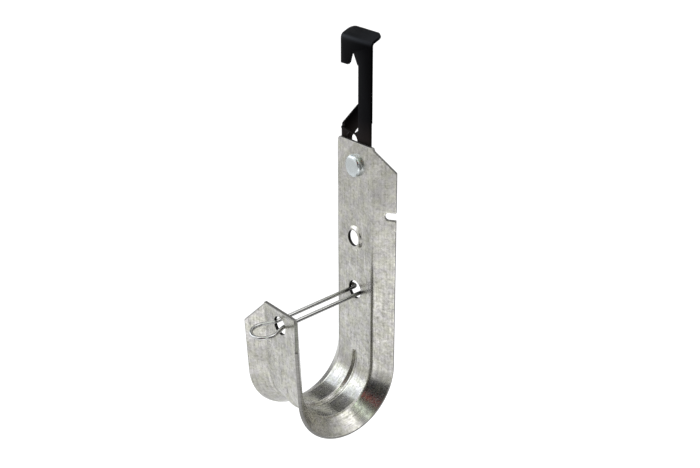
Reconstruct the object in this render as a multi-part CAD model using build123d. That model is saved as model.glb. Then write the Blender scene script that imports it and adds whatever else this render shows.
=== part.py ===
from build123d import *
import os
from math import asin, atan2, cos, degrees, hypot, radians, sin, tan

# Cable j-hook of bent sheet steel, with a spring wire retainer across its mouth and a riveted hanger clip.
# The origin is the centre of the mounting hole, in the plane of the back plate's rear face.
# X runs across the plate, Y back towards the wall and Z up. All sizes are millimetres.

# Sheet body: one flat strip with a flange bent away from the cables along each side
sheet = 1.3
strip_width = 21.3
flange_width = 9.1
flange_angle = 36.4
flange_bend_radius = 0.8

# Loop, back plate and lip
loop_radius = 16.65
lip_lean = 2.9
plate_above_mount = 38.5
loop_below_mount = 51.1
lip_length = 31.3
corner_drop = 8.9
corner_inset = 0.7

# Holes in the body, with their heights above the mounting hole or above the end of the loop
mount_hole_diameter = 6.4
dimple_floor_width = 0.9
dimple_wall_run = 0.7
dimple_depth = 0.9
retainer_hole_diameter = 7.4
plate_hole_height = -22.1
lip_hole_height = 25.0
slot_height = 12.5
slot_width = 3.0
slot_depth = 4.3

# Stiffening rib, pressed outward down the middle of the loop
rib_width = 3.0
rib_depth = 0.8
rib_up_plate = 0.6
rib_up_lip = 3.9

# Retainer wire, placed by its gaps in the two retainer holes
wire_diameter = 1.5
leg_gap_plate = 0.15
leg_gap_lip = 0.25
leg_drop_plate = 0.5
leg_rise_lip = 0.6
tail_gap = 0.9
tail_side_gap = 2.2
tail_bend_radius = 1.3
teardrop_length = 12.7
teardrop_overhang = 1.55
teardrop_bend_radius = 3.0

# Rivet
rivet_height = 29.3
rivet_shank_diameter = 4.8
rivet_clearance = 0.05
rivet_head_diameter = 8.8
rivet_head_height = 2.0
rivet_head_bevel = 0.7
rivet_tail_diameter = 7.0
rivet_tail_height = 1.3
rivet_tail_bevel = 0.5

# Hanger clip, with its heights measured from the rivet that carries it
clip_sheet = 1.0
clip_flange_gap = 0.1
clip_foot = 9.6
clip_web_right = 7.1
clip_strip_left = 0.05
clip_strip_right = 7.4
clip_step_height = 17.6
clip_ledge_height = 12.8
clip_ledge_dip = 1.1
clip_dip_width = 2.2
clip_top = 47.5
clip_bend_radius = 1.2
cap_left = 10.4
cap_rise_angle = 26.6
cap_length = 6.1
cap_corner_radius = 2.7
cap_skew = 2.0
clip_slot_length = 7.4
clip_slot_width = 5.4
clip_slot_x = -4.0
clip_slot_height = 8.8
finger_height = 37.2
finger_width = 5.0
finger_chamfer = 1.0
notch_rise = 5.4
notch_width = 1.3
notch_land = 2.6
wall_depth = 5.3
wall_bend_radius = 0.8
barb_depth = 8.6
barb_slope = 38.8
barb_heel_height = 11.2

# Holes and cuts go this far past both faces of the sheet that they are drawn on
cut_reach = 3 * sheet

front = -sheet
loop_y = front - loop_radius
bend_setback = sheet * tan(radians(flange_angle / 2))
leg_x_plate = (retainer_hole_diameter - wire_diameter) / 2 - leg_gap_plate
leg_x_lip = (retainer_hole_diameter - wire_diameter) / 2 - leg_gap_lip
teardrop_radius = retainer_hole_diameter / 2 + teardrop_overhang

# The round bend of the clip's side wall nests in the corner between the back plate and the left flange
wall_bend_outer = wall_bend_radius + clip_sheet
nest_depth = wall_bend_outer * (1 - cos(radians(flange_angle))) + clip_flange_gap
wall_left = strip_width / 2 - bend_setback - nest_depth / sin(radians(flange_angle)) + wall_bend_outer

# Planes that stand on the cable side of the sheet, with local Y pointing out of the loop
lean = radians(lip_lean)
plate_start = Plane(origin=(0, front, -loop_below_mount), x_dir=(1, 0, 0), z_dir=(0, 0, 1))
lip_start = Plane(
    origin=(0, loop_y - loop_radius * cos(lean), -loop_below_mount - loop_radius * sin(lean)),
    x_dir=(-1, 0, 0),
    z_dir=(0, -sin(lean), cos(lean)),
)
loop_axis = Axis((0, loop_y, -loop_below_mount), (-1, 0, 0))
plate_length = loop_below_mount + plate_above_mount


def along_hook(profile, up_plate, up_lip):
    """Carry a cross-section up the back plate, round the loop and up the lip."""
    plate = extrude(plate_start * profile, amount=up_plate)
    loop = revolve(plate_start * profile, axis=loop_axis, revolution_arc=180 - lip_lean)
    lip = extrude(lip_start * profile, amount=up_lip)
    return plate + loop + lip


def channel_section():
    """The sheet's cross-section: x across the strip, y out of the loop."""
    half = strip_width / 2
    run = flange_width * cos(radians(flange_angle))
    rise = flange_width * sin(radians(flange_angle))
    across = sheet * sin(radians(flange_angle))
    through = sheet * cos(radians(flange_angle))
    right = [
        (half, 0),
        (half + run, rise),
        (half + run - across, rise + through),
        (half - bend_setback, sheet),
    ]
    left = [(-x, y) for x, y in reversed(right)]
    section = make_face(Polyline(*right, *left, close=True))
    creases = section.vertices().filter_by_position(Axis.Y, -0.01, 0.01)
    section = fillet(creases, flange_bend_radius + sheet)
    inner = [v for v in section.vertices() if abs(abs(v.X) - half + bend_setback) < 0.01]
    return fillet(inner, flange_bend_radius)


def rib_sections():
    """Circular groove on the cable side and the bead that the same press raises on the outside."""
    groove_radius = (rib_width**2 / 4 + rib_depth**2) / (2 * rib_depth)
    centre = rib_depth - groove_radius
    groove = Pos(0, centre) * Circle(groove_radius)
    bead_radius = groove_radius + sheet
    cover = 4 * bead_radius
    cable_side = Pos(0, (sheet - cover) / 2) * Rectangle(cover, cover)
    bead = Pos(0, centre) * Circle(bead_radius) - cable_side
    return groove, bead, groove_radius, centre


def rib_ends(radius, centre):
    """Round ends of the rib, one on the plate and one on the lip."""
    plate_end = plate_start * Pos(0, centre, rib_up_plate) * Sphere(radius)
    lip_end = lip_start * Pos(0, centre, rib_up_lip) * Sphere(radius)
    return plate_end, lip_end


def bead_with_ends(bead, radius, centre):
    """The outer bead, whose round ends are kept only outside the sheet's middle."""
    solid = along_hook(bead, rib_up_plate, rib_up_lip)
    cover = 4 * radius
    places = (plate_start * Pos(0, 0, rib_up_plate), lip_start * Pos(0, 0, rib_up_lip))
    for place, end in zip(places, rib_ends(radius, centre)):
        cable_side = place * Pos(0, (sheet - cover) / 2, 0) * Box(cover, cover, cover)
        solid += end - cable_side
    return solid


def crease_plane(start, length, side, bend):
    """Plane on the cable side at a crease, at a height up the leg: x out at an angle from the flat, y up."""
    angle = radians(bend)
    outward = start.x_dir * (side * cos(angle)) + start.y_dir * sin(angle)
    corner = start * Pos(side * strip_width / 2, 0, length)
    normal = outward.cross(start.z_dir)
    return Plane(origin=corner.position, x_dir=outward, z_dir=normal)


def corner_waste(inner_x):
    """What the blank loses beyond inner_x: one straight cut from the leg's end down to the flange's edge."""
    slope = corner_drop / (corner_inset + flange_width)
    far_x = flange_width + cut_reach
    inner = (inner_x, -slope * (corner_inset + inner_x))
    outer = (far_x, -slope * (corner_inset + far_x))
    outline = Polyline(inner, outer, (far_x, cut_reach), (inner_x, cut_reach), close=True)
    return extrude(make_face(outline), amount=cut_reach, both=True)


def edge_slot():
    """Slot from the flange's edge inward, with a round inner end."""
    tip = flange_width - slot_depth
    reach = slot_depth + cut_reach
    straight = Pos(tip + slot_width / 2 + reach / 2, 0) * Rectangle(reach, slot_width)
    end = Pos(tip + slot_width / 2, 0) * Circle(slot_width / 2)
    return extrude(straight + end, amount=cut_reach, both=True)


def cross_hole(diameter):
    """Drill through the sheet, along the local Y of a leg's plane."""
    return Rot(90, 0, 0) * Cylinder(diameter / 2, 2 * cut_reach)


def dimple():
    """Recess and boss of the mounting hole, which lets a screw head sit below the cable side."""
    floor_r = mount_hole_diameter / 2 + dimple_floor_width
    mouth_r = floor_r + dimple_wall_run
    facing_back = Rot(-90, 0, 0)
    recess = Pos(0, front + dimple_depth / 2, 0) * facing_back * Cone(mouth_r, floor_r, dimple_depth)
    boss = Pos(0, dimple_depth / 2, 0) * facing_back * Cone(mouth_r + dimple_wall_run, mouth_r, dimple_depth)
    return recess, boss


def hook_body():
    """The whole bent strip with its rib, holes, slots and cut corners."""
    body = along_hook(channel_section(), plate_length, lip_length)
    groove, bead, groove_radius, centre = rib_sections()
    body += bead_with_ends(bead, groove_radius + sheet, centre)
    body -= along_hook(groove, rib_up_plate, rib_up_lip)
    for end in rib_ends(groove_radius, centre):
        body -= end

    recess, boss = dimple()
    body += boss
    body -= recess
    body -= cross_hole(mount_hole_diameter)
    body -= Pos(0, 0, plate_hole_height) * cross_hole(retainer_hole_diameter)
    body -= Pos(0, 0, rivet_height) * cross_hole(rivet_shank_diameter + 2 * rivet_clearance)
    body -= lip_start * Pos(0, 0, lip_hole_height) * cross_hole(retainer_hole_diameter)

    for side in (1, -1):
        for start, length in ((plate_start, plate_length), (lip_start, lip_length)):
            body -= crease_plane(start, length, side, 0) * corner_waste(-corner_inset)
            body -= crease_plane(start, length, side, flange_angle) * corner_waste(0)
        slot_plane = crease_plane(plate_start, loop_below_mount + slot_height, side, flange_angle)
        body -= slot_plane * edge_slot()
    return body


def retainer_wire():
    """Spring wire bent flat: tails behind the plate, legs across the mouth and a teardrop past the lip."""
    radius = wire_diameter / 2
    at_plate = Vector(0, 0, plate_hole_height - leg_drop_plate)
    at_lip = (lip_start * Pos(0, sheet, lip_hole_height)).position + Vector(0, 0, leg_rise_lip)
    across = at_lip - at_plate
    span = across.length
    tail_y = -tail_gap - radius

    # the side of the teardrop runs from the lip at a tangent to its round end
    reach = teardrop_length - teardrop_radius - radius
    centre_y = span + reach
    flare = asin(teardrop_radius / hypot(leg_x_lip, reach)) - atan2(leg_x_lip, reach)
    touch = (teardrop_radius * cos(flare), centre_y - teardrop_radius * sin(flare))
    leg = FilletPolyline(
        (strip_width / 2 - tail_side_gap, tail_y),
        (leg_x_plate, tail_y),
        (leg_x_lip, span),
        touch,
        radius=[tail_bend_radius, teardrop_bend_radius],
    )
    bow = CenterArc((0, centre_y), teardrop_radius, -degrees(flare), 180 + 2 * degrees(flare))
    leg_solid = sweep(Plane(origin=leg @ 0, z_dir=leg % 0) * Circle(radius), path=leg)
    bow_solid = sweep(Plane(origin=bow @ 0, z_dir=bow % 0) * Circle(radius), path=bow)
    wire = leg_solid + bow_solid + mirror(leg_solid, about=Plane.YZ)
    return Plane(origin=at_plate, x_dir=(1, 0, 0), z_dir=Vector(1, 0, 0).cross(across)) * wire


def clip_side_section():
    """Upper web and cap seen from the side: x is the depth behind the plate, y the height above the rivet."""
    angle = radians(cap_rise_angle)
    back = cap_length * cos(angle)
    rise = cap_length * sin(angle)
    setback = clip_sheet * tan((radians(90) - angle) / 2)
    foot = clip_ledge_height - clip_ledge_dip
    points = [
        (0, foot),
        (0, clip_top),
        (back, clip_top + rise),
        (back + clip_sheet * sin(angle), clip_top + rise - clip_sheet * cos(angle)),
        (clip_sheet, clip_top - setback),
        (clip_sheet, foot),
    ]
    section = make_face(Polyline(*points, close=True))
    outer = [v for v in section.vertices() if abs(v.X) < 0.01 and abs(v.Y - clip_top) < 0.01]
    section = fillet(outer, clip_bend_radius + clip_sheet)
    inner = [v for v in section.vertices() if abs(v.Y - clip_top + setback) < 0.01]
    return fillet(inner, clip_bend_radius)


def clip_opening():
    """Open side of the hook: below the finger, up into the notch, down the strip and along the ledge."""
    outside = -wall_left - clip_sheet
    finger_right = finger_width - cap_left
    notch_left = clip_strip_left - notch_land - notch_width
    outline = Polyline(
        (outside, clip_ledge_height),
        (-wall_left, clip_ledge_height),
        (clip_strip_left - clip_dip_width, clip_ledge_height - clip_ledge_dip),
        (clip_strip_left, clip_ledge_height + clip_ledge_dip / 2),
        (clip_strip_left, finger_height + finger_chamfer / 2),
        (clip_strip_left - notch_width / 2, finger_height + finger_chamfer),
        (clip_strip_left - notch_land, finger_height + notch_rise - finger_chamfer),
        (notch_left, finger_height + notch_rise),
        (finger_right, finger_height + finger_chamfer),
        (finger_right - finger_chamfer, finger_height),
        (outside, finger_height),
        close=True,
    )
    return make_face(outline)


def clip_bend_section():
    """Lower clip seen from above: the web, with the wall bent back from its left edge."""
    outline = Polyline(
        (clip_web_right, 0),
        (-wall_left, 0),
        (-wall_left, barb_depth),
        (clip_sheet - wall_left, barb_depth),
        (clip_sheet - wall_left, clip_sheet),
        (clip_web_right, clip_sheet),
        close=True,
    )
    section = make_face(outline)
    outer = [v for v in section.vertices() if v.X < 0 and v.Y < 0.01]
    section = fillet(outer, wall_bend_outer)
    inner = [v for v in section.vertices() if v.X < 0 and abs(v.Y - clip_sheet) < 0.01]
    return fillet(inner, wall_bend_radius)


def clip_side_outline():
    """Lower clip seen from the side, with the barb that rises behind the opening."""
    barb_top = clip_ledge_height + barb_depth * tan(radians(barb_slope))
    outline = Polyline(
        (0, -clip_foot),
        (wall_depth, -clip_foot),
        (wall_depth, barb_heel_height - (barb_depth - wall_depth)),
        (barb_depth, barb_heel_height),
        (barb_depth, barb_top),
        (0, clip_ledge_height),
        close=True,
    )
    return make_face(outline)


def is_cap_corner(edge):
    """True for the two short edges at the cap's free corners."""
    return abs(edge.length - clip_sheet) < 0.01 and edge.center().Y > cap_length / 2


def hanger_clip():
    """Bent spring-steel clip: web behind the plate, a hook open to the left, and a cap on top."""
    skew = radians(cap_skew)
    bend_line = Vector(cos(skew), 0, -sin(skew))
    side_section = Plane.YZ * clip_side_section()
    upper = extrude(side_section, amount=clip_strip_right / cos(skew), dir=bend_line)
    upper += extrude(side_section, amount=cap_left / cos(skew), dir=-bend_line)
    upper = fillet([e for e in upper.edges() if is_cap_corner(e)], cap_corner_radius)

    side = extrude(Plane.YZ * clip_side_outline(), amount=wall_left, both=True)
    tall = side.bounding_box().size.Z
    lower = side & extrude(Pos(0, 0, -clip_foot) * clip_bend_section(), amount=tall)
    clip = upper + lower
    clip -= extrude(Plane.XZ * clip_opening(), amount=clip_sheet, both=True)

    step_width = clip_strip_right - clip_web_right
    step = Pos(clip_strip_right, clip_sheet / 2, clip_step_height - clip_ledge_height)
    clip -= step * Box(2 * step_width, clip_sheet, 2 * clip_ledge_height)

    slot = extrude(Plane.XZ * SlotOverall(clip_slot_length, clip_slot_width), amount=cut_reach, both=True)
    clip -= Pos(clip_slot_x, 0, clip_slot_height) * slot
    clip -= cross_hole(rivet_shank_diameter + 2 * rivet_clearance)
    return Pos(0, 0, rivet_height) * clip


def clip_rivet():
    """Rivet through plate and clip: bevelled head in front, upset tail behind."""
    head_r = rivet_head_diameter / 2
    tail_r = rivet_tail_diameter / 2
    shank_r = rivet_shank_diameter / 2
    profile = Polyline(
        (0, front - rivet_head_height),
        (head_r - rivet_head_bevel, front - rivet_head_height),
        (head_r, front - rivet_head_height + rivet_head_bevel),
        (head_r, front),
        (shank_r, front),
        (shank_r, clip_sheet),
        (tail_r, clip_sheet),
        (tail_r, clip_sheet + rivet_tail_height - rivet_tail_bevel),
        (tail_r - rivet_tail_bevel, clip_sheet + rivet_tail_height),
        (0, clip_sheet + rivet_tail_height),
        close=True,
    )
    rivet = revolve(make_face(profile), axis=Axis.Y)
    return Pos(0, 0, rivet_height) * rivet


parts = {
    "hook_body": hook_body(),
    "retainer_wire": retainer_wire(),
    "hanger_clip": hanger_clip(),
    "clip_rivet": clip_rivet(),
}

os.makedirs("parts", exist_ok=True)
for name, solid in parts.items():
    export_step(solid, f"parts/{name}.step")
    box = solid.bounding_box()
    print(f"{name}: {len(solid.solids())} solid, volume {solid.volume:.0f} mm3, {box.min} to {box.max}")
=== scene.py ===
# %% [markdown]
# # A cable j-hook in galvanised sheet
# The hook is one strip of zinc-galvanised steel, bent into a J and stiffened by two flared flanges.
# A spring wire closes its mouth, and a black spring-steel clip is riveted behind its back plate.
# The CAD model is loaded first. It fixes every size and place, and this lesson gives it its looks.

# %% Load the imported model
import math
import bmesh
import bpy
from mathutils import Matrix, Vector


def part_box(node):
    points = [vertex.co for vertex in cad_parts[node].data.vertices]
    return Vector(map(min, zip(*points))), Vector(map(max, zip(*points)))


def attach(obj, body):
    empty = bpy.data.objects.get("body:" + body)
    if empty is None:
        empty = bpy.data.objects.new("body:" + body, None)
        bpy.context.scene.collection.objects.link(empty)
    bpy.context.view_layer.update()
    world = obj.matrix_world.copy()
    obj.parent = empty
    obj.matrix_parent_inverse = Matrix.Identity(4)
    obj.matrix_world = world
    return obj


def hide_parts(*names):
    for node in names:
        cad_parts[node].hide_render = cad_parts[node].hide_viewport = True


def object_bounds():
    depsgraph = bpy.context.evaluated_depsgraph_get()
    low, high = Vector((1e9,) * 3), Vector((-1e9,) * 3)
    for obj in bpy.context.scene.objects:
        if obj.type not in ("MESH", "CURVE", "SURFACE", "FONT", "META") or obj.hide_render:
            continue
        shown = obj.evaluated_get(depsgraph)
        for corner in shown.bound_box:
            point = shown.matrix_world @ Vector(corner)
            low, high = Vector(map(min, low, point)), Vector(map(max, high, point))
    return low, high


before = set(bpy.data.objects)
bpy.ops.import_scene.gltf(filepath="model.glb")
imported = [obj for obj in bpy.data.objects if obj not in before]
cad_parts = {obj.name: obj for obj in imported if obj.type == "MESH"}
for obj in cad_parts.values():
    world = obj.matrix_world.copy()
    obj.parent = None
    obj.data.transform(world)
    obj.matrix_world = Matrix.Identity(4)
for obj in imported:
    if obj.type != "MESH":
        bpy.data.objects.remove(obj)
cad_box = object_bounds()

print("nodes in the frame:", sorted(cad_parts))

# %% [markdown]
# ## The camera
# A camera was fitted to the corners of the hook, so it stands where the photographer's did.
# It looks down a little and from the right, close enough for the perspective to show.
# Azimuth and elevation are its back direction, and the lens is for a sensor 36 mm wide.

# %% Place the camera
CAMERA_PLACE = Vector((0.294873, -0.229541, 0.154058))
CAMERA_AZIMUTH = 52.55
CAMERA_ELEVATION = 22.258
CAMERA_LENS = 53.643
CAMERA_SENSOR = 36
CAMERA_NEAREST = 0.01


def make_camera():
    azimuth = math.radians(CAMERA_AZIMUTH)
    elevation = math.radians(CAMERA_ELEVATION)
    back = Vector((
        math.sin(azimuth) * math.cos(elevation),
        -math.cos(azimuth) * math.cos(elevation),
        math.sin(elevation),
    ))
    data = bpy.data.cameras.new("camera")
    data.lens = CAMERA_LENS
    data.sensor_width = CAMERA_SENSOR
    data.clip_start = CAMERA_NEAREST
    camera = bpy.data.objects.new("camera", data)
    camera.location = CAMERA_PLACE
    camera.rotation_mode = "QUATERNION"
    camera.rotation_quaternion = back.to_track_quat("Z", "Y")
    bpy.context.collection.objects.link(camera)
    bpy.context.scene.camera = camera
    return back


camera_back = make_camera()
print("camera looks along", [round(-x, 3) for x in camera_back])

# %% [markdown]
# ## The white room
# Bright metal shows mostly what stands around it, so the studio is part of the finish.
# The world is plain white for the camera and for reflections, and the floor lies well below the hook.
# The floor adds a little white for the camera alone, which clears the background but keeps the soft shadow.
# Two small helpers come first, because every shader tree below is wired with them.

# %% World and floor
WORLD_LIGHT = 0.85
FLOOR_DROP = 0.25
FLOOR_SIDE = 8
FLOOR_WHITE = 0.3
WHITE = (1, 1, 1)


def put(tree, given, socket):
    """Feed a socket from another socket, or set it to a plain number, vector or colour."""
    if isinstance(given, bpy.types.NodeSocket):
        tree.links.new(given, socket)
    else:
        socket.default_value = given


def math_node(tree, operation, *values):
    node = tree.nodes.new("ShaderNodeMath")
    node.operation = operation
    for value, socket in zip(values, node.inputs):
        put(tree, value, socket)
    return node.outputs[0]


def link(obj):
    bpy.context.collection.objects.link(obj)
    return obj


def white_background(tree, strength):
    node = tree.nodes.new("ShaderNodeBackground")
    node.inputs["Color"].default_value = (*WHITE, 1)
    node.inputs["Strength"].default_value = strength
    return node.outputs[0]


def make_world(light_strength):
    """White where the camera or a reflection looks, and a plain even light on everything else."""
    world = bpy.data.worlds.new("studio")
    world.use_nodes = True
    tree = world.node_tree
    tree.nodes.clear()
    ray = tree.nodes.new("ShaderNodeLightPath").outputs
    seen = math_node(tree, "MAXIMUM", ray["Is Camera Ray"], ray["Is Glossy Ray"])
    seen = math_node(tree, "MAXIMUM", seen, ray["Is Transmission Ray"])
    mix = tree.nodes.new("ShaderNodeMixShader")
    put(tree, seen, mix.inputs["Fac"])
    put(tree, white_background(tree, light_strength), mix.inputs[1])
    put(tree, white_background(tree, 1), mix.inputs[2])
    out = tree.nodes.new("ShaderNodeOutputWorld")
    put(tree, mix.outputs[0], out.inputs["Surface"])
    bpy.context.scene.world = world


def plain_material(name, colour, roughness, glow=0):
    material = bpy.data.materials.new(name)
    material.use_nodes = True
    shader = material.node_tree.nodes["Principled BSDF"]
    shader.inputs["Base Color"].default_value = (*colour, 1)
    shader.inputs["Roughness"].default_value = roughness
    shader.inputs["Emission Color"].default_value = (*colour, 1)
    shader.inputs["Emission Strength"].default_value = glow
    return material


def whiten_for_camera(material, strength):
    """Add white that only the camera sees, as the white sweep behind a product is lit by itself."""
    tree = material.node_tree
    ray = tree.nodes.new("ShaderNodeLightPath").outputs
    shader = tree.nodes["Principled BSDF"]
    shader.inputs["Emission Color"].default_value = (*WHITE, 1)
    amount = math_node(tree, "MULTIPLY", ray["Is Camera Ray"], strength)
    put(tree, amount, shader.inputs["Emission Strength"])


def make_board(name, centre, facing, width, height, material):
    """A flat board in the studio, whose face is turned towards a given point."""
    bm = bmesh.new()
    bmesh.ops.create_grid(bm, x_segments=1, y_segments=1, size=0.5)
    bmesh.ops.scale(bm, vec=(width, height, 1), verts=bm.verts)
    turn = (facing - centre).to_track_quat("Z", "Y").to_matrix().to_4x4()
    bmesh.ops.transform(bm, matrix=Matrix.Translation(centre) @ turn, verts=bm.verts)
    mesh = bpy.data.meshes.new(name)
    bm.to_mesh(mesh)
    bm.free()
    mesh.materials.append(material)
    board = link(bpy.data.objects.new(name, mesh))
    return board


make_world(WORLD_LIGHT)
bpy.context.scene.view_settings.view_transform = "Standard"
floor_place = Vector((0, 0, cad_box[0].z - FLOOR_DROP))
pale_floor = plain_material("pale_floor", (0.9, 0.9, 0.9), 0.6)
whiten_for_camera(pale_floor, FLOOR_WHITE)
make_board("floor", floor_place, floor_place + Vector((0, 0, 1)), FLOOR_SIDE, FLOOR_SIDE, pale_floor)
print("floor at", round(floor_place.z, 3), "m")

# %% [markdown]
# ## Softboxes, flags and cards
# Dark boards outside the picture give the loop its dark bands, as black flags do round a product shot.
# A light card, a grey card and two small coloured cards lift other places of the metal.
# Only reflections show these boards, and each stands where the metal reflects it,
# so a direction from the loop and a distance say all about its place.

# %% Light the hook with softboxes
LOOP_PLACE = Vector((0, -0.018, -0.055))

# Each softbox has a name, a direction, a distance, a width and a height in metres, a brightness and a colour.
SOFTBOXES = [
    ("key_softbox", (-0.735, -0.43, 0.45), 0.8, 0.8, 0.55, 1.34, (0.87, 0.935, 1.0)),
    ("fill_softbox", (0.32, -0.87, -0.5), 0.55, 0.3, 0.14, 0.68, WHITE),
    ("top_softbox", (0.26, 0.26, 0.93), 0.8, 0.5, 0.36, 1.08, WHITE),
    ("rim_softbox", (0.64, -0.6, -0.36), 0.55, 0.16, 0.2, 2.0, WHITE),
    ("streak_softbox", (-0.23, -0.45, 0.86), 0.8, 0.2, 0.2, 1.95, WHITE),
]


def out_from_loop(direction, distance):
    return LOOP_PLACE + distance * Vector(direction).normalized()


def make_softbox(name, direction, distance, width, height, brightness, colour):
    """A rectangular lamp out along a direction, whose power follows from its size and brightness."""
    centre = out_from_loop(direction, distance)
    data = bpy.data.lights.new(name, "AREA")
    data.shape = "RECTANGLE"
    data.size = width
    data.size_y = height
    data.energy = math.pi * width * height * brightness
    data.color = colour
    lamp = link(bpy.data.objects.new(name, data))
    lamp.location = centre
    lamp.rotation_mode = "QUATERNION"
    lamp.rotation_quaternion = (centre - LOOP_PLACE).to_track_quat("Z", "Y")


for softbox in SOFTBOXES:
    make_softbox(*softbox)
print("softboxes:", [name for name, *rest in SOFTBOXES])

# %% Stand the flags and cards
CLOTH_ROUGHNESS = 0.9
dark_cloth = plain_material("dark_cloth", (0.02, 0.02, 0.021), CLOTH_ROUGHNESS)
light_card = plain_material("light_card", (0.62, 0.62, 0.59), CLOTH_ROUGHNESS)
grey_card = plain_material("grey_card", (0.3, 0.3, 0.29), CLOTH_ROUGHNESS)
red_card = plain_material("red_card", (0.62, 0.09, 0.06), CLOTH_ROUGHNESS, glow=0.2)
green_card = plain_material("green_card", (0.84, 1.0, 0.76), CLOTH_ROUGHNESS, glow=0.8)

# Each board has a name, a direction, a distance, a width and a height in metres, and a material.
BOARDS = [
    ("flag_upper_left", (-0.735, 0.07, 0.675), 0.8, 1.2, 0.25, dark_cloth),
    ("card_left", (-0.735, 0.5, 0.3), 0.85, 1.0, 0.75, light_card),
    ("flag_front", (0.45, -0.76, 0.44), 0.7, 0.6, 0.74, dark_cloth),
    ("flag_front_high", (0.36, -0.2, 0.91), 0.7, 0.4, 0.14, dark_cloth),
    ("card_red", (0.425, -0.635, 0.63), 0.6, 0.13, 0.09, red_card),
    ("card_green", (0.385, -0.33, 0.86), 0.6, 0.24, 0.12, green_card),
    ("card_back", (-0.15, 0.92, 0.3), 0.85, 0.6, 0.5, grey_card),
    ("flag_behind_left", (-0.84, 0.46, -0.23), 0.8, 0.42, 0.2, dark_cloth),
    ("flag_right", (0.9, 0.3, 0.1), 0.6, 0.9, 0.8, dark_cloth),
]


def stand_board(name, direction, distance, width, height, material):
    """A board that only reflections show, set out from the loop along a direction."""
    board = make_board(name, out_from_loop(direction, distance), LOOP_PLACE, width, height, material)
    board.visible_camera = False
    board.visible_diffuse = False
    board.visible_shadow = False


for board_row in BOARDS:
    stand_board(*board_row)
print("boards:", [name for name, *rest in BOARDS])

# %% [markdown]
# ## Zinc, bright wire and black oxide
# Hot-dip zinc on thin sheet is a soft grey with cloudy patches, and rolling leaves fine lines along it.
# One node group makes those patches and lines, and each metal uses it with its own colours and scale.
# Everything is measured in centimetres. The sheet gives its own flat layout as UV,
# and the small parts give their object space.

# %% A shared group for patches and drawn lines
VECTOR = "NodeSocketVector"
NUMBER = "NodeSocketFloat"
COLOUR = "NodeSocketColor"
PATCH_SHARE = 0.36
GRAIN_SHARE = 0.34
LINE_SHARE = 0.3
MIDDLE = 0.5


def new_group(name, inputs, outputs):
    group = bpy.data.node_groups.new(name, "ShaderNodeTree")
    for label, kind, value in inputs:
        socket = group.interface.new_socket(label, in_out="INPUT", socket_type=kind)
        socket.default_value = value
    for label, kind in outputs:
        group.interface.new_socket(label, in_out="OUTPUT", socket_type=kind)
    return group


def noise(tree, place, scale, detail, roughness):
    node = tree.nodes.new("ShaderNodeTexNoise")
    for label, given in (("Vector", place), ("Scale", scale), ("Detail", detail), ("Roughness", roughness)):
        put(tree, given, node.inputs[label])
    return node.outputs["Fac"]


def stretched(tree, place, factors):
    node = tree.nodes.new("ShaderNodeVectorMath")
    node.operation = "MULTIPLY"
    put(tree, place, node.inputs[0])
    put(tree, factors, node.inputs[1])
    return node.outputs[0]


def ranged(tree, value, low, high, to_low=0.0, to_high=1.0):
    """Carry a value from one range to another, and hold it at both ends."""
    node = tree.nodes.new("ShaderNodeMapRange")
    put(tree, value, node.inputs["Value"])
    for label, limit in (("From Min", low), ("From Max", high), ("To Min", to_low), ("To Max", to_high)):
        put(tree, limit, node.inputs[label])
    return node.outputs["Result"]


def colour_mix(tree, factor, first, second, blend_type="MIX"):
    node = tree.nodes.new("ShaderNodeMix")
    node.data_type = "RGBA"
    node.blend_type = blend_type
    for label, given in (("Factor", factor), ("A", first), ("B", second)):
        put(tree, given, node.inputs[label])
    return node.outputs["Result"]


def make_metal_cloud():
    """Colour, roughness and height of a metal with cloudy patches, fine grain and lines one way."""
    group = new_group("metal_cloud", [
        ("Place", VECTOR, (0, 0, 0)),
        ("Line Stretch", VECTOR, (1, 1, 1)),
        ("Patch Scale", NUMBER, 2.0),
        ("Grain Scale", NUMBER, 14.0),
        ("Line Scale", NUMBER, 20.0),
        ("Contrast", NUMBER, 1.0),
        ("Dark", COLOUR, (0.4, 0.4, 0.4, 1)),
        ("Light", COLOUR, (0.6, 0.6, 0.6, 1)),
        ("Smooth", NUMBER, 0.3),
        ("Rough", NUMBER, 0.45),
    ], [("Colour", COLOUR), ("Roughness", NUMBER), ("Height", NUMBER)])
    given = group.nodes.new("NodeGroupInput").outputs
    out = group.nodes.new("NodeGroupOutput").inputs
    place = given["Place"]

    patches = noise(group, place, given["Patch Scale"], detail=4, roughness=0.62)
    grain = noise(group, place, given["Grain Scale"], detail=2, roughness=0.5)
    along_lines = stretched(group, place, given["Line Stretch"])
    lines = noise(group, along_lines, given["Line Scale"], detail=3, roughness=0.55)
    total = math_node(group, "MULTIPLY", patches, PATCH_SHARE)
    total = math_node(group, "MULTIPLY_ADD", grain, GRAIN_SHARE, total)
    total = math_node(group, "MULTIPLY_ADD", lines, LINE_SHARE, total)
    around = math_node(group, "SUBTRACT", total, MIDDLE)
    spread = math_node(group, "MULTIPLY_ADD", around, given["Contrast"], MIDDLE)

    put(group, colour_mix(group, spread, given["Dark"], given["Light"]), out["Colour"])
    put(group, ranged(group, spread, 0, 1, given["Rough"], given["Smooth"]), out["Roughness"])
    put(group, total, out["Height"])
    return group


metal_cloud = make_metal_cloud()
print("group", metal_cloud.name, "has", len(metal_cloud.nodes), "nodes")
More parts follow.
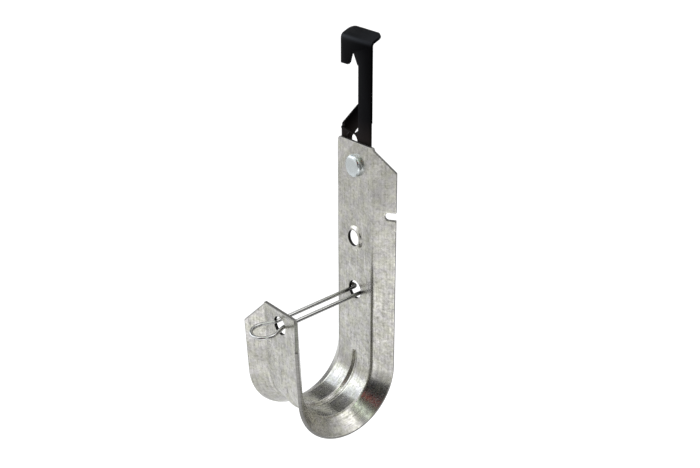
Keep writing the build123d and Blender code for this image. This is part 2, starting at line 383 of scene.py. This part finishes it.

# %% [markdown]
# ## Wear on the zinc, and painted shade in its creases
# The sheet has been coiled, pressed and handled. Its zinc is stained in broad cloudy patches, a little green
# in places and a little violet in others, and it is scratched along the strip, with small dark specks.
# The press rubs hardest near the loop, so the wear grows down the plate. The creases of the flanges get a
# dark band of painted shade. Each mark is a noise pattern that fades in between a low and a high level.

# %% A group for stains, scratches, specks and painted shade in the creases
WORN_FROM_CM = 4.0
WORN_TO_CM = 8.5
LEAST_WORN = 0.25
MOST_WORN = 0.6
CROSS_LINE_DEPTH = 0.12
CREASE_CM = 1.06
CREASE_EDGE_CM = 0.13
CREASE_CORE_CM = 0.07
CREASE_SHADE = 0.46
GREENISH = (1.0, 1.0, 0.92, 1)
VIOLETISH = (0.99, 0.975, 1.0, 1)
GRIME_AND_SHADE = (0.07, 0.068, 0.06, 1)

# At both ends of the creases, the place along the strip with no painted shade and the place where it is full.
CREASE_SHADE_FADES_CM = ((4.3, 5.3), (9.7, 9.2))


def away_from(tree, value, centre):
    """How far the size of a value is from a centre, whatever its sign."""
    size = math_node(tree, "ABSOLUTE", value)
    return math_node(tree, "ABSOLUTE", math_node(tree, "SUBTRACT", size, centre))


def make_zinc_wear_and_shade():
    """Tints a clean zinc colour, and lays stains, scratches, specks and painted shade in the creases over it.
    """
    group = new_group("zinc_wear_and_shade", [
        ("Place", VECTOR, (0, 0, 0)),
        ("Clean", COLOUR, (0.5, 0.5, 0.5, 1)),
        ("Stain Depth", NUMBER, 0.25),
    ], [("Colour", COLOUR)])
    given = group.nodes.new("NodeGroupInput").outputs
    out = group.nodes.new("NodeGroupOutput").inputs
    place = given["Place"]
    split = group.nodes.new("ShaderNodeSeparateXYZ")
    put(group, place, split.inputs[0])

    tone = ranged(group, noise(group, place, 2.6, detail=3, roughness=0.6), low=0.4, high=0.6)
    tint = colour_mix(group, tone, GREENISH, VIOLETISH)
    tinted = colour_mix(group, 1, given["Clean"], tint, blend_type="MULTIPLY")

    stains = ranged(group, noise(group, place, 0.9, detail=5, roughness=0.62), low=0.62, high=0.38)
    stains = math_node(group, "MULTIPLY", stains, given["Stain Depth"])
    cross_lines = noise(group, stretched(group, place, (0.12, 1, 1)), 15, detail=2, roughness=0.5)
    cross_lines = ranged(group, cross_lines, low=0.5, high=0.75)
    stains = math_node(group, "MULTIPLY_ADD", cross_lines, CROSS_LINE_DEPTH, stains)

    scratches = noise(group, stretched(group, place, (1, 0.1, 1)), 17, detail=2, roughness=0.5)
    scratches = ranged(group, scratches, low=0.6, high=0.72)
    specks = ranged(group, noise(group, place, 11, detail=2, roughness=0.5), low=0.64, high=0.72)
    marks = math_node(group, "MAXIMUM", scratches, specks)
    worn = ranged(group, split.outputs["Y"], WORN_FROM_CM, WORN_TO_CM, LEAST_WORN, MOST_WORN)
    marks = math_node(group, "MULTIPLY", marks, worn)

    # Painted shade: a dark band along the crease of each flange, strongest in its core and faded in at both
    # ends.
    from_crease = away_from(group, split.outputs["X"], CREASE_CM)
    crease_shade = ranged(group, from_crease, CREASE_EDGE_CM, CREASE_CORE_CM, 0, CREASE_SHADE)
    for none, full in CREASE_SHADE_FADES_CM:
        crease_shade = math_node(group, "MULTIPLY", crease_shade, ranged(group, split.outputs["Y"], none, full))

    # One dark colour serves both the real marks and the painted shade in the creases.
    wear_and_shade = math_node(group, "MAXIMUM", marks, stains)
    wear_and_shade = math_node(group, "MAXIMUM", wear_and_shade, crease_shade)
    put(group, colour_mix(group, wear_and_shade, tinted, GRIME_AND_SHADE), out["Colour"])
    return group


zinc_wear_and_shade = make_zinc_wear_and_shade()
print("group", zinc_wear_and_shade.name, "has", len(zinc_wear_and_shade.nodes), "nodes")

# %% [markdown]
# ## The finishes
# Each finish is one Principled shader fed by the group, with a very low bump for the rolled lines.
# The sheared outline of the sheet gets a dull grey zinc, because a sheared edge is torn and holds dirt, and
# the walls of its round holes are painted near-black, as painted shade. A tint along one axis then darkens
# the wire towards the plate, as a painted reflection of the dark hole wall. Two more lighten the black clip
# towards its foot, and paint a bluish highlight on its cap.

# %% Make a material from the groups
CM_PER_M = 100
MM_PER_M = 1000


def cloudy_metal(name, dark, light, smooth, rough, patch, grain, line, stretch, contrast, bump_mm,
                 from_layout):
    """A metal whose colour, roughness and bump come from the shared group."""
    material = bpy.data.materials.new(name)
    material.use_nodes = True
    tree = material.node_tree
    shader = tree.nodes["Principled BSDF"]
    shader.inputs["Metallic"].default_value = 1
    coordinates = tree.nodes.new("ShaderNodeTexCoord")
    mapping = tree.nodes.new("ShaderNodeMapping")
    if from_layout:
        put(tree, coordinates.outputs["UV"], mapping.inputs["Vector"])
    else:
        mapping.inputs["Scale"].default_value = (CM_PER_M, CM_PER_M, CM_PER_M)
        put(tree, coordinates.outputs["Object"], mapping.inputs["Vector"])
    cloud = tree.nodes.new("ShaderNodeGroup")
    cloud.node_tree = metal_cloud
    values = {
        "Place": mapping.outputs["Vector"],
        "Line Stretch": stretch,
        "Patch Scale": patch,
        "Grain Scale": grain,
        "Line Scale": line,
        "Contrast": contrast,
        "Dark": (*dark, 1),
        "Light": (*light, 1),
        "Smooth": smooth,
        "Rough": rough,
    }
    for label, value in values.items():
        put(tree, value, cloud.inputs[label])
    bump = tree.nodes.new("ShaderNodeBump")
    bump.inputs["Strength"].default_value = 1
    bump.inputs["Distance"].default_value = bump_mm / MM_PER_M
    put(tree, cloud.outputs["Height"], bump.inputs["Height"])
    put(tree, cloud.outputs["Colour"], shader.inputs["Base Color"])
    put(tree, cloud.outputs["Roughness"], shader.inputs["Roughness"])
    put(tree, bump.outputs["Normal"], shader.inputs["Normal"])
    return material


def lay_wear_and_shade(material, stain_depth):
    """Put the group of wear and painted crease shade between the metal's own colour and its shader."""
    tree = material.node_tree
    cloud = next(n for n in tree.nodes if n.bl_idname == "ShaderNodeGroup")
    wear_and_shade = tree.nodes.new("ShaderNodeGroup")
    wear_and_shade.node_tree = zinc_wear_and_shade
    wear_and_shade.inputs["Stain Depth"].default_value = stain_depth
    put(tree, cloud.inputs["Place"].links[0].from_socket, wear_and_shade.inputs["Place"])
    put(tree, cloud.outputs["Colour"], wear_and_shade.inputs["Clean"])
    put(tree, wear_and_shade.outputs["Colour"], tree.nodes["Principled BSDF"].inputs["Base Color"])


def tint_towards(material, axis, start, end, colour):
    """Mix in a colour along an axis of the object's space, from none at start to all at end, in metres."""
    tree = material.node_tree
    base_colour = tree.nodes["Principled BSDF"].inputs["Base Color"]
    own = base_colour.links[0].from_socket
    coordinates = next(n for n in tree.nodes if n.bl_idname == "ShaderNodeTexCoord")
    split = tree.nodes.new("ShaderNodeSeparateXYZ")
    put(tree, coordinates.outputs["Object"], split.inputs[0])
    amount = ranged(tree, split.outputs[axis], start, end)
    put(tree, colour_mix(tree, amount, own, (*colour, 1)), base_colour)


print("the helpers for the finishes are ready, with groups", metal_cloud.name, "and", zinc_wear_and_shade.name)

# %% Mix the six finishes
ALONG_STRIP = (1.0, 0.05, 1.0)
galvanised = cloudy_metal(
    "galvanised_sheet", dark=(0.38, 0.375, 0.345), light=(0.81, 0.80, 0.775), smooth=0.16, rough=0.34,
    patch=4.0, grain=10.0, line=14.0, stretch=ALONG_STRIP, contrast=3.2, bump_mm=0.012, from_layout=True)
lay_wear_and_shade(galvanised, stain_depth=0.3)
cut_edge = cloudy_metal(
    "sheared_edge", dark=(0.13, 0.128, 0.12), light=(0.38, 0.37, 0.355), smooth=0.3, rough=0.5,
    patch=6.0, grain=30.0, line=20.0, stretch=(1, 1, 1), contrast=1.8, bump_mm=0.02, from_layout=True)
# Painted shade: the walls of the round holes are near-black.
shaded_hole_wall = cloudy_metal(
    "shaded_hole_wall", dark=(0.008, 0.008, 0.007), light=(0.05, 0.048, 0.045), smooth=0.4, rough=0.6,
    patch=6.0, grain=30.0, line=20.0, stretch=(1, 1, 1), contrast=1.5, bump_mm=0.02, from_layout=True)
bright_wire = cloudy_metal(
    "spring_wire", dark=(0.40, 0.40, 0.39), light=(0.68, 0.68, 0.67), smooth=0.14, rough=0.26,
    patch=4.0, grain=20.0, line=30.0, stretch=(1.0, 0.08, 1.0), contrast=1.2, bump_mm=0.006,
    from_layout=False)
# Painted reflection of the dark hole wall: the wire darkens towards the plate.
tint_towards(bright_wire, "Y", start=-0.009, end=-0.002, colour=(0.10, 0.10, 0.098))
rivet_zinc = cloudy_metal(
    "rivet_zinc", dark=(0.50, 0.535, 0.54), light=(0.66, 0.70, 0.705), smooth=0.2, rough=0.34,
    patch=5.0, grain=26.0, line=24.0, stretch=(1, 1, 1), contrast=1.0, bump_mm=0.008, from_layout=False)
black_oxide = cloudy_metal(
    "black_oxide", dark=(0.0008, 0.0008, 0.001), light=(0.0035, 0.0035, 0.0039), smooth=0.34, rough=0.52,
    patch=4.0, grain=24.0, line=18.0, stretch=(1, 1, 0.3), contrast=1.3, bump_mm=0.01, from_layout=False)
black_oxide.node_tree.nodes["Principled BSDF"].inputs["Specular Tint"].default_value = (0.7, 0.7, 0.72, 1)
# The black clip turns a lighter, warmer grey towards its foot.
tint_towards(black_oxide, "Z", start=0.048, end=0.036, colour=(0.022, 0.017, 0.0155))
# Painted highlight: a lighter, bluish band on the clip's cap, at its top.
tint_towards(black_oxide, "Z", start=0.075, end=0.0768, colour=(0.0175, 0.0185, 0.021))
print("finishes:", [m.name for m in (galvanised, cut_edge, shaded_hole_wall, bright_wire, rivet_zinc, black_oxide)])

# %% [markdown]
# ## The strip as a flat blank
# The real body starts as a flat strip. A press shears its corners and punches its holes and slots,
# and then the rib and a raised ring are pressed and the strip is bent. The model is made in the same order.
# A fine grid is the blank, so each later step only cuts it or moves its points, and the rolled lines
# stay in the sheet's own layout however it is bent. All sizes here are millimetres, as on the drawing.

# %% Sizes of the strip
SHEET = 1.3
STRIP_WIDTH = 21.3
FLANGE_WIDTH = 9.1
FLANGE_ANGLE = math.radians(36.4)
CREASE_INSIDE = 0.8
CREASE_RADIUS = CREASE_INSIDE + SHEET
LOOP_RADIUS = 16.65
LIP_LEAN = math.radians(2.9)
PLATE_TOP = 38.5
LOOP_HEIGHT = -51.1
LIP_LENGTH = 31.3
CORNER_DROP = 8.9
CORNER_INSET = 0.7

crease_setback = CREASE_RADIUS * math.tan(FLANGE_ANGLE / 2)
flat_half = STRIP_WIDTH / 2 - crease_setback
blank_half = flat_half + CREASE_RADIUS * FLANGE_ANGLE + FLANGE_WIDTH - crease_setback
plate_length = PLATE_TOP - LOOP_HEIGHT
loop_turn = math.pi - LIP_LEAN
lip_start = plate_length + LOOP_RADIUS * loop_turn
blank_length = lip_start + LIP_LENGTH
print("blank is", round(2 * blank_half, 1), "by", round(blank_length, 1), "mm")

# %% Shear the blank
CELL_ACROSS = 0.42
CELL_ALONG = 0.65


def across_flange(from_crease):
    """Place across the blank of a point on the flange, given by its distance from the sharp crease line."""
    return blank_half - FLANGE_WIDTH + from_crease


def sheared_blank():
    bm = bmesh.new()
    columns = round(2 * blank_half / CELL_ACROSS)
    rows = round(blank_length / CELL_ALONG)
    bmesh.ops.create_grid(bm, x_segments=columns, y_segments=rows, size=0.5)
    bmesh.ops.translate(bm, vec=(0, 0.5, 0), verts=bm.verts)
    bmesh.ops.scale(bm, vec=(2 * blank_half, blank_length, 1), verts=bm.verts)
    for side in (1, -1):
        for end, into in ((0, 1), (blank_length, -1)):
            corner = Vector((side * across_flange(-CORNER_INSET), end, 0))
            out = Vector((side * CORNER_DROP, -into * (FLANGE_WIDTH + CORNER_INSET), 0)).normalized()
            everything = bm.verts[:] + bm.edges[:] + bm.faces[:]
            bmesh.ops.bisect_plane(bm, geom=everything, plane_co=corner, plane_no=out, clear_outer=True)
    return bm


blank = sheared_blank()
print("sheared blank:", len(blank.faces), "faces")

# %% [markdown]
# ## Punching the holes
# A punch is described by a distance that is negative inside the hole.
# The cells inside are deleted, and the points left along the ragged rim slide onto the true outline.
# That gives round holes with clean rims, which a Boolean on a dense grid doesn't.

# %% Punch the holes and the edge slots
MOUNT_HOLE_RADIUS = 3.2
RETAINER_HOLE_RADIUS = 3.7
RIVET_HOLE_RADIUS = 2.45
RIVET_HEIGHT = 29.3
PLATE_HOLE_HEIGHT = -22.1
LIP_HOLE_HEIGHT = 25.0
SLOT_HEIGHT = 12.5
SLOT_WIDTH = 3.0
SLOT_DEPTH = 4.3
PROBE = 0.01


def round_hole(height_along, radius):
    def distance(p):
        return math.hypot(p.x, p.y - height_along) - radius
    return distance


def edge_slot(side):
    inner_centre = across_flange(FLANGE_WIDTH - SLOT_DEPTH) + SLOT_WIDTH / 2
    height_along = PLATE_TOP - SLOT_HEIGHT

    def distance(p):
        return math.hypot(min(side * p.x - inner_centre, 0), p.y - height_along) - SLOT_WIDTH / 2
    return distance


def punch(bm, distance):
    """Cut a hole, and slide the points of its rim down the slope of the distance onto its outline."""
    inside = [f for f in bm.faces if distance(f.calc_center_median()) < 0]
    bmesh.ops.delete(bm, geom=inside, context="FACES")
    reach = max(CELL_ACROSS, CELL_ALONG)
    rim = {v for e in bm.edges if e.is_boundary for v in e.verts if abs(distance(v.co)) < reach}
    for v in rim:
        slope = Vector((
            distance(v.co + Vector((PROBE, 0, 0))) - distance(v.co - Vector((PROBE, 0, 0))),
            distance(v.co + Vector((0, PROBE, 0))) - distance(v.co - Vector((0, PROBE, 0))),
            0,
        )) / (2 * PROBE)
        v.co -= slope * distance(v.co)
    return len(rim)


mount_along = PLATE_TOP
round_holes = [
    round_hole(mount_along, MOUNT_HOLE_RADIUS),
    round_hole(mount_along - RIVET_HEIGHT, RIVET_HOLE_RADIUS),
    round_hole(mount_along - PLATE_HOLE_HEIGHT, RETAINER_HOLE_RADIUS),
    round_hole(lip_start + LIP_HOLE_HEIGHT, RETAINER_HOLE_RADIUS),
]
edge_slots = [edge_slot(1), edge_slot(-1)]
print("points on each rim:", [punch(blank, distance) for distance in round_holes + edge_slots])

# %% [markdown]
# ## Thickness and the sheared edge
# Solidify turns the flat sheet into a plate of even thickness, and a narrow bevel breaks its sharp edges.
# The rear face takes its patterns from another place of the layout, as two faces of a sheet never match.
# While the blank is still flat, every face that isn't level is an edge. The outline is sheared and gets a
# dull grey, and the walls of the round holes get a near-black painted shade.

# %% Give the blank its thickness
SHEET_EDGE_ROUND = 0.14
RIM_MERGE = 0.02
RIM_SLIVER = 0.01
SHEARED_ABOVE = 60
WALL_REACH = 0.03
REAR_SHIFT = 70
LEVEL = 0.95
MM_PER_CM = 10
FACE_SLOT = 0
EDGE_SLOT = 1
WALL_SLOT = 2


def round_edges(bm, sharp_above, offset, segments=2, clamp_overlap=False):
    """Bevel the edges where two faces meet at more than an angle in degrees."""
    limit = math.radians(sharp_above)
    sharp = [e for e in bm.edges if len(e.link_faces) == 2 and e.calc_face_angle() > limit]
    bmesh.ops.bevel(bm, geom=sharp, offset=offset, segments=segments, profile=0.5, affect="EDGES",
                    material=-1, clamp_overlap=clamp_overlap)


def in_round_hole(p):
    return any(distance(p) < WALL_REACH for distance in round_holes)


def finish_slot(face):
    """Which of the body's three finishes a face of the flat blank gets."""
    if abs(face.normal.z) >= LEVEL:
        return FACE_SLOT
    return WALL_SLOT if in_round_hole(face.calc_center_median()) else EDGE_SLOT


def thicken(bm):
    bmesh.ops.remove_doubles(bm, verts=bm.verts, dist=RIM_MERGE)
    bmesh.ops.dissolve_degenerate(bm, edges=bm.edges, dist=RIM_SLIVER)
    bmesh.ops.solidify(bm, geom=bm.faces[:], thickness=SHEET)
    bmesh.ops.recalc_face_normals(bm, faces=bm.faces)
    round_edges(bm, SHEARED_ABOVE, SHEET_EDGE_ROUND)
    layout = bm.loops.layers.uv.new("blank_layout")
    for f in bm.faces:
        f.material_index = finish_slot(f)
        shift = REAR_SHIFT if abs(f.calc_center_median().z) > SHEET / 2 else 0
        for corner in f.loops:
            place = corner.vert.co
            corner[layout].uv = ((place.x + shift) / MM_PER_CM, place.y / MM_PER_CM)


thicken(blank)
print("solid blank:", len(blank.faces), "faces")

# %% [markdown]
# ## Pressing and bending
# One function presses the rib down the loop and the raised ring round the mounting hole, with the soft
# shoulders that a die leaves. Two more bend the flanges back across the strip and carry the strip down the
# plate, round the loop and up the lip. Moving every point through them bends the blank as a press brake does.

# %% Press and bend the blank
RIB_HALF_WIDTH = 1.85
RIB_DEPTH = 0.8
RIB_UP_PLATE = 0.6
RIB_UP_LIP = 3.9
RING_FLAT = 0.5
RING_TOP = MOUNT_HOLE_RADIUS + RING_FLAT
RING_FOOT = 5.0
RING_HEIGHT = 0.9


def ease(t):
    t = min(max(t, 0), 1)
    return t * t * (3 - 2 * t)


def pressed_depth(across, along):
    """How far the press moves the sheet away from the cables: the rib goes out and the ring comes in."""
    off_end = max(plate_length - RIB_UP_PLATE - along, along - lip_start - RIB_UP_LIP, 0)
    rib = RIB_DEPTH * ease(1 - math.hypot(across, off_end) / RIB_HALF_WIDTH)
    from_hole = math.hypot(across, along - mount_along)
    ring = RING_HEIGHT * ease((RING_FOOT - from_hole) / (RING_FOOT - RING_TOP))
    return rib - ring


def bend_flanges(across, depth):
    """Cross-section of the channel: x across it, and how far out of the loop."""
    side = 1 if across >= 0 else -1
    distance = abs(across)
    turn = min(max((distance - flat_half) / CREASE_RADIUS, 0), FLANGE_ANGLE)
    run = max(distance - flat_half - CREASE_RADIUS * FLANGE_ANGLE, 0)
    radius = CREASE_RADIUS - depth
    x = min(distance, flat_half) + radius * math.sin(turn) + run * math.cos(turn)
    out = CREASE_RADIUS - radius * math.cos(turn) + run * math.sin(turn)
    return side * x, out


def bend_loop(x, out, along):
    """Down the plate, round the loop and up the lip, in the frame of the mounting hole."""
    front = -SHEET
    if along < plate_length:
        return Vector((x, front + out, PLATE_TOP - along))
    turn = min((along - plate_length) / LOOP_RADIUS, loop_turn)
    up_lip = max(along - lip_start, 0)
    radius = LOOP_RADIUS + out
    y = front - LOOP_RADIUS + radius * math.cos(turn) - up_lip * math.sin(LIP_LEAN)
    z = LOOP_HEIGHT - radius * math.sin(turn) + up_lip * math.cos(LIP_LEAN)
    return Vector((x, y, z))


def bend_blank(bm):
    for v in bm.verts:
        depth = abs(v.co.z) + pressed_depth(v.co.x, v.co.y)
        x, out = bend_flanges(v.co.x, depth)
        v.co = bend_loop(x, out, v.co.y)
    bmesh.ops.recalc_face_normals(bm, faces=bm.faces)


bend_blank(blank)
print("bent blank:", len(blank.verts), "points")

# %% [markdown]
# ## From a mesh to a piece
# Every piece is drawn in millimetres and written in metres, in the frame of the CAD model, so its object
# stays at the origin. The shading is smooth, apart from edges where two faces meet at more than 50 degrees.
# The printed line compares the piece's box with the box of the node that it stands for.

# %% Write the body as a piece
SHADED_SHARP_ABOVE = math.radians(50)


def finish_piece(bm, name, node, materials):
    """Write a bmesh in millimetres as a piece that stands for a node of the model."""
    bmesh.ops.scale(bm, vec=(1 / MM_PER_M,) * 3, verts=bm.verts)
    for f in bm.faces:
        f.smooth = True
    for e in bm.edges:
        e.smooth = not (len(e.link_faces) == 2 and e.calc_face_angle(0) > SHADED_SHARP_ABOVE)
    mesh = bpy.data.meshes.new(name)
    bm.to_mesh(mesh)
    bm.free()
    for material in materials:
        mesh.materials.append(material)
    piece = link(bpy.data.objects.new(name, mesh))
    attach(piece, "root")
    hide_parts(node)
    triangles = sum(len(p.vertices) - 2 for p in mesh.polygons)
    box = [[limit(v.co[i] for v in mesh.vertices) for i in range(3)] for limit in (min, max)]
    off = [round(MM_PER_M * (p - q), 2) for own, cad in zip(box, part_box(node)) for p, q in zip(own, cad)]
    print(name, "has", triangles, "triangles, and its box differs from the node's by", off, "mm")


finish_piece(blank, "j_hook", "hook_body", [galvanised, cut_edge, shaded_hole_wall])

# %% [markdown]
# ## The retainer wire
# The retainer is one length of spring wire: a tail along the back of the plate, a leg through the hole,
# a teardrop in front of the lip, and the same again mirrored. A wire bender feeds the wire straight and
# bends it round a pin, turn by turn, and the model does so too: extrude for a feed, and spin for a bend.

# %% Feed and bend a ring of points
WIRE_RADIUS = 0.75
WIRE_SIDES = 20
STEP_ANGLE = math.radians(6)
FEWEST_STEPS = 3


def feed(bm, ring, distance, heading):
    new = bmesh.ops.extrude_edge_only(bm, edges=ring)["geom"]
    verts = [g for g in new if isinstance(g, bmesh.types.BMVert)]
    bmesh.ops.translate(bm, vec=distance * heading, verts=verts)
    return [g for g in new if isinstance(g, bmesh.types.BMEdge) and all(v in verts for v in g.verts)]


def bend(bm, ring, centre, angle):
    steps = max(FEWEST_STEPS, round(abs(angle) / STEP_ANGLE))
    turned = bmesh.ops.spin(bm, geom=ring, cent=centre, axis=(0, 0, 1), angle=angle, steps=steps)["geom_last"]
    return [g for g in turned if isinstance(g, bmesh.types.BMEdge)]


def bend_at(bm, ring, here, corner, after, radius):
    """Feed to a corner of the route, bend round it with a radius, and give the ring and place after it."""
    into = (corner - here).normalized()
    away = (after - corner).normalized()
    angle = -into.xy.angle_signed(away.xy)
    setback = radius * math.tan(abs(angle) / 2)
    start = corner - setback * into
    side = Vector((-into.y, into.x, 0)) * (1 if angle > 0 else -1)
    ring = feed(bm, ring, (start - here).length, into)
    ring = bend(bm, ring, start + radius * side, angle)
    return ring, corner + setback * away


print("the wire is", 2 * WIRE_RADIUS, "mm thick, with", WIRE_SIDES, "sides")

# %% Bend the retainer
LEG_GAP_PLATE = 0.15
LEG_GAP_LIP = 0.25
LEG_DROP_PLATE = 0.5
LEG_RISE_LIP = 0.6
TAIL_GAP = 0.9
TAIL_SIDE_GAP = 2.2
TAIL_BEND = 1.3
TEARDROP_LENGTH = 12.69
TEARDROP_BEND = 3.0
TEARDROP_PAST_HOLE = 1.55
TEARDROP_RADIUS = RETAINER_HOLE_RADIUS + TEARDROP_PAST_HOLE
WIRE_END_ABOVE = 60
WIRE_END_ROUND = 0.15
MERGE = 0.001

at_plate = Vector((0, 0, PLATE_HOLE_HEIGHT - LEG_DROP_PLATE))
at_lip = bend_loop(0, SHEET, lip_start + LIP_HOLE_HEIGHT) + Vector((0, 0, LEG_RISE_LIP))
leg_span = (at_lip - at_plate).length
leg_x_plate = RETAINER_HOLE_RADIUS - WIRE_RADIUS - LEG_GAP_PLATE
leg_x_lip = RETAINER_HOLE_RADIUS - WIRE_RADIUS - LEG_GAP_LIP
tail_y = -TAIL_GAP - WIRE_RADIUS
bow_reach = TEARDROP_LENGTH - TEARDROP_RADIUS - WIRE_RADIUS
flare = math.asin(TEARDROP_RADIUS / math.hypot(leg_x_lip, bow_reach)) - math.atan2(leg_x_lip, bow_reach)
bow_centre = Vector((0, leg_span + bow_reach, 0))
touch = bow_centre + TEARDROP_RADIUS * Vector((math.cos(flare), -math.sin(flare), 0))


def bent_retainer():
    bm = bmesh.new()
    tail = Vector((STRIP_WIDTH / 2 - TAIL_SIDE_GAP, tail_y, 0))
    bmesh.ops.create_circle(bm, cap_ends=True, radius=WIRE_RADIUS, segments=WIRE_SIDES)
    bmesh.ops.rotate(bm, cent=(0, 0, 0), matrix=Matrix.Rotation(math.pi / 2, 3, "Y"), verts=bm.verts)
    bmesh.ops.translate(bm, vec=tail, verts=bm.verts)
    ring = bm.edges[:]
    corner = Vector((leg_x_plate, tail_y, 0))
    at_lip_leg = Vector((leg_x_lip, leg_span, 0))
    ring, here = bend_at(bm, ring, tail, corner, at_lip_leg, TAIL_BEND)
    ring, here = bend_at(bm, ring, here, at_lip_leg, touch, TEARDROP_BEND)
    ring = feed(bm, ring, (touch - here).length, (touch - here).normalized())
    bend(bm, ring, bow_centre, math.pi / 2 + flare)
    geom = bm.verts[:] + bm.edges[:] + bm.faces[:]
    bmesh.ops.mirror(bm, geom=geom, axis="X", merge_dist=MERGE)
    bmesh.ops.remove_doubles(bm, verts=bm.verts, dist=MERGE)
    bmesh.ops.recalc_face_normals(bm, faces=bm.faces)
    round_edges(bm, WIRE_END_ABOVE, WIRE_END_ROUND, segments=3)
    across = (at_lip - at_plate).normalized()
    sideways = Vector((1, 0, 0))
    frame_of_wire = Matrix((sideways, across, sideways.cross(across))).transposed().to_4x4()
    bmesh.ops.transform(bm, matrix=Matrix.Translation(at_plate) @ frame_of_wire, verts=bm.verts)
    return bm


finish_piece(bent_retainer(), "wire_retainer", "retainer_wire", [bright_wire])

# %% [markdown]
# ## The hanger clip and its rivet
# The clip is stamped from 1 mm spring steel and blackened. Its shape in the CAD model is already right,
# so its merged copy only gets the small rounded edges that tumbling gives a stamping.
# The rivet is turned from one profile, like the real one, with a soft edge where the tool closed it.

# %% Soften a copy of a stamped node
COPY_MERGE = 0.002
FLAT_BELOW = math.radians(1)
STAMPED_ABOVE = 40
CLIP_EDGE_ROUND = 0.12


def softened_copy(node):
    bm = bmesh.new()
    bm.from_mesh(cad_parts[node].data)
    bmesh.ops.scale(bm, vec=(MM_PER_M,) * 3, verts=bm.verts)
    bmesh.ops.remove_doubles(bm, verts=bm.verts, dist=COPY_MERGE)
    bmesh.ops.dissolve_limit(bm, angle_limit=FLAT_BELOW, verts=bm.verts, edges=bm.edges)
    round_edges(bm, STAMPED_ABOVE, CLIP_EDGE_ROUND, clamp_overlap=True)
    return bm


finish_piece(softened_copy("hanger_clip"), "clip", "hanger_clip", [black_oxide])

# %% Turn the rivet
HEAD_RADIUS = 4.4
HEAD_HEIGHT = 2.0
HEAD_BEVEL = 1.05
HEAD_CROWN = 0.12
SHANK_RADIUS = 2.4
TAIL_RADIUS = 3.5
TAIL_HEIGHT = 1.3
TAIL_BEVEL = 0.5
CLIP_SHEET = 1.0
RIVET_SIDES = 64


def turned_rivet():
    face = -SHEET - HEAD_HEIGHT
    profile = [
        (0, face),
        (HEAD_RADIUS - 2 * HEAD_BEVEL, face + HEAD_CROWN / 3),
        (HEAD_RADIUS - HEAD_BEVEL, face + HEAD_CROWN),
        (HEAD_RADIUS - 0.2 * HEAD_BEVEL, face + 0.5 * HEAD_BEVEL),
        (HEAD_RADIUS, face + HEAD_BEVEL + HEAD_CROWN),
        (HEAD_RADIUS, -SHEET),
        (SHANK_RADIUS, -SHEET),
        (SHANK_RADIUS, CLIP_SHEET),
        (TAIL_RADIUS, CLIP_SHEET),
        (TAIL_RADIUS, CLIP_SHEET + TAIL_HEIGHT - TAIL_BEVEL),
        (TAIL_RADIUS - TAIL_BEVEL, CLIP_SHEET + TAIL_HEIGHT),
        (0, CLIP_SHEET + TAIL_HEIGHT),
    ]
    bm = bmesh.new()
    points = [bm.verts.new((r, y, 0)) for r, y in profile]
    line = [bm.edges.new(pair) for pair in zip(points, points[1:])]
    bmesh.ops.spin(bm, geom=points + line, cent=(0, 0, 0), axis=(0, 1, 0), angle=2 * math.pi,
                   steps=RIVET_SIDES, use_merge=True)
    bmesh.ops.remove_doubles(bm, verts=bm.verts, dist=MERGE)
    bmesh.ops.translate(bm, vec=(0, 0, RIVET_HEIGHT), verts=bm.verts)
    bmesh.ops.recalc_face_normals(bm, faces=bm.faces)
    return bm


finish_piece(turned_rivet(), "rivet", "clip_rivet", [rivet_zinc])

# %% [markdown]
# ## Finish
# The box of the CAD model is printed here, and each piece above printed how far its own box differs from its
# node's.

# %% Print the CAD box and finish
print("cad box", [[round(x, 4) for x in p] for p in cad_box])
